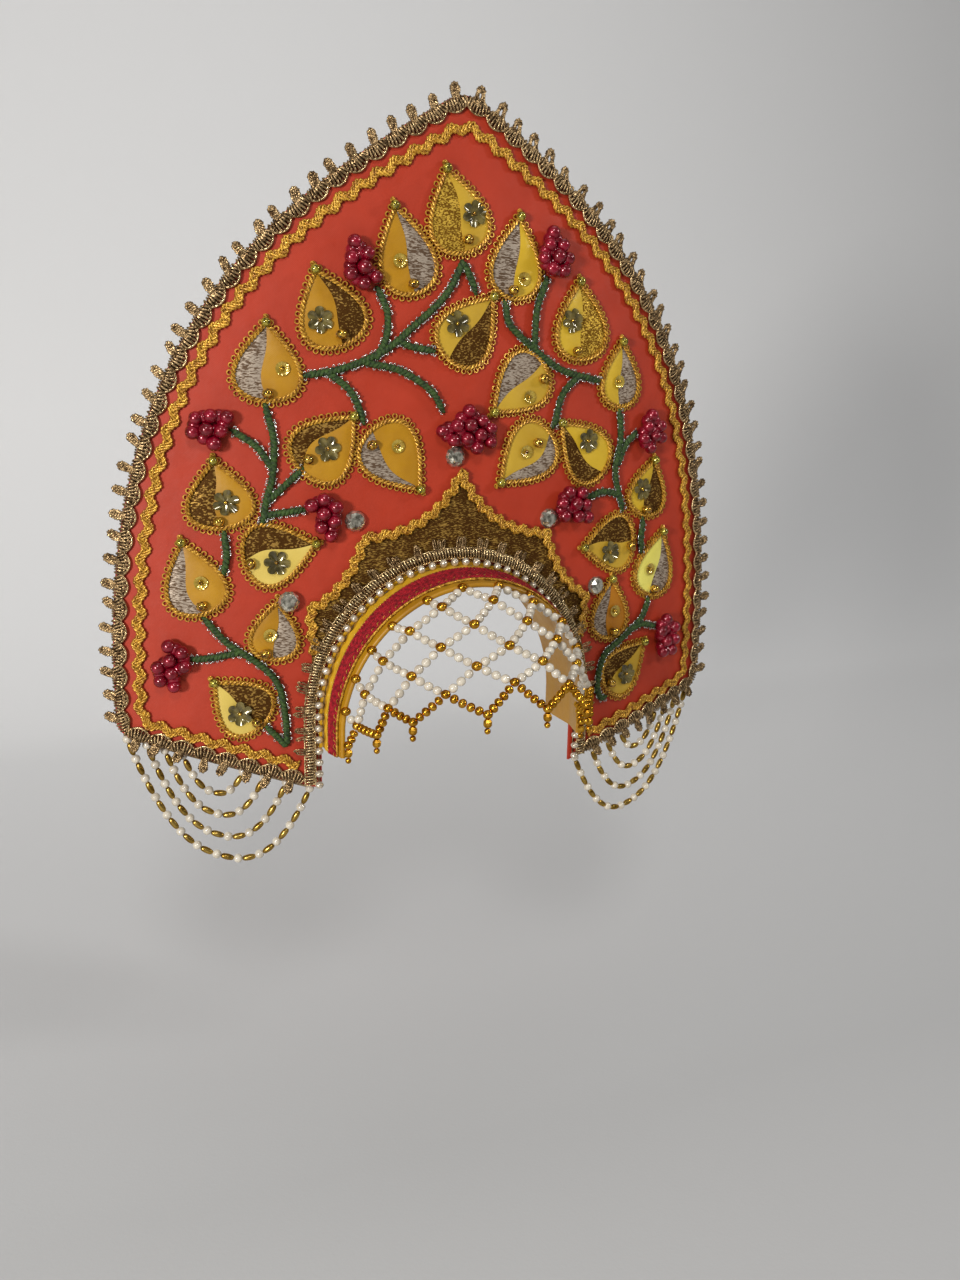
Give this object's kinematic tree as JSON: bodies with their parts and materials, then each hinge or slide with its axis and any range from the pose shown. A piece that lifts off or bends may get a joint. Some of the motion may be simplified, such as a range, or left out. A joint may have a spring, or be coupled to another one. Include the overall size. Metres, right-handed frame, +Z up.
{
  "type": "kokoshnik headdress",
  "caption": "Pointed crest headdress of red satin on a gold head band, sewn with leaves, berries, vines and metallic braid, with a pearl forehead net and pearl swags under both wings.",
  "frame": {"origin": "underside of the head band at its highest point, in the plane of the crest board's front face, where it sits on top of the head", "axes": "+Z up towards the crest's tip, front facing -Y, +X to the viewer's right"},
  "size_m": [0.441, 0.1405, 0.4812],
  "materials": {
    "red_satin": "woven satin over a stiff board",
    "gold_satin": "mustard satin",
    "brown_lame": "brown and gold lame with short metallic flecks",
    "bronze_galloon": "coiled metallic gimp with picot loops",
    "gold_braid": "golden-yellow ric-rac",
    "red_braid": "plaited red braid with a gold edge",
    "leaf_patch": "satin, lame and brocade halves in a gold gimp edge",
    "berry_bead": "crimson pearl beads",
    "clear_stone": "clear faceted stones with a foiled back",
    "green_cord": "twisted cord with fine sparkling loops",
    "pearl_bead": "cream pearl beads",
    "gold_bead": "polished gold-coloured beads",
    "silver_bead": "champagne metallised beads"
  },
  "bodies": {
    "root": {"band_braid": "red_braid", "berries_c": "berry_bead", "berries_l1": "berry_bead", "berries_l2": "berry_bead", "berries_l3": "berry_bead", "berries_l4": "berry_bead", "berries_r1": "berry_bead", "berries_r2": "berry_bead", "berries_r3": "berry_bead", "berries_r4": "berry_bead", "crest_board": "red_satin", "crown_panel": "brown_lame", "crown_ric_rac": "gold_braid", "edge_galloon": "bronze_galloon", "edge_ric_rac": "gold_braid", "head_band": "gold_satin", "leaf_c1": "leaf_patch", "leaf_c2": "leaf_patch", "leaf_l1": "leaf_patch", "leaf_l10": "leaf_patch", "leaf_l2": "leaf_patch", "leaf_l3": "leaf_patch", "leaf_l4": "leaf_patch", "leaf_l5": "leaf_patch", "leaf_l6": "leaf_patch", "leaf_l7": "leaf_patch", "leaf_l8": "leaf_patch", "leaf_l9": "leaf_patch", "leaf_r1": "leaf_patch", "leaf_r10": "leaf_patch", "leaf_r11": "leaf_patch", "leaf_r2": "leaf_patch", "leaf_r3": "leaf_patch", "leaf_r4": "leaf_patch", "leaf_r5": "leaf_patch", "leaf_r6": "leaf_patch", "leaf_r7": "leaf_patch", "leaf_r8": "leaf_patch", "leaf_r9": "leaf_patch", "net_gold_hem": "gold_bead", "opening_beads": "silver_bead", "opening_galloon": "bronze_galloon", "pearl_net": "pearl_bead", "stone_c": "clear_stone", "stone_l1": "clear_stone", "stone_l2": "clear_stone", "stone_r1": "clear_stone", "stone_r2": "clear_stone", "swag_left": "pearl_bead", "swag_right": "pearl_bead", "vine_l_low": "green_cord", "vine_l_mid": "green_cord", "vine_l_side": "green_cord", "vine_l_top": "green_cord", "vine_r_low": "green_cord", "vine_r_mid": "green_cord", "vine_r_side": "green_cord", "vine_r_top": "green_cord"}
  },
  "joints": []
}
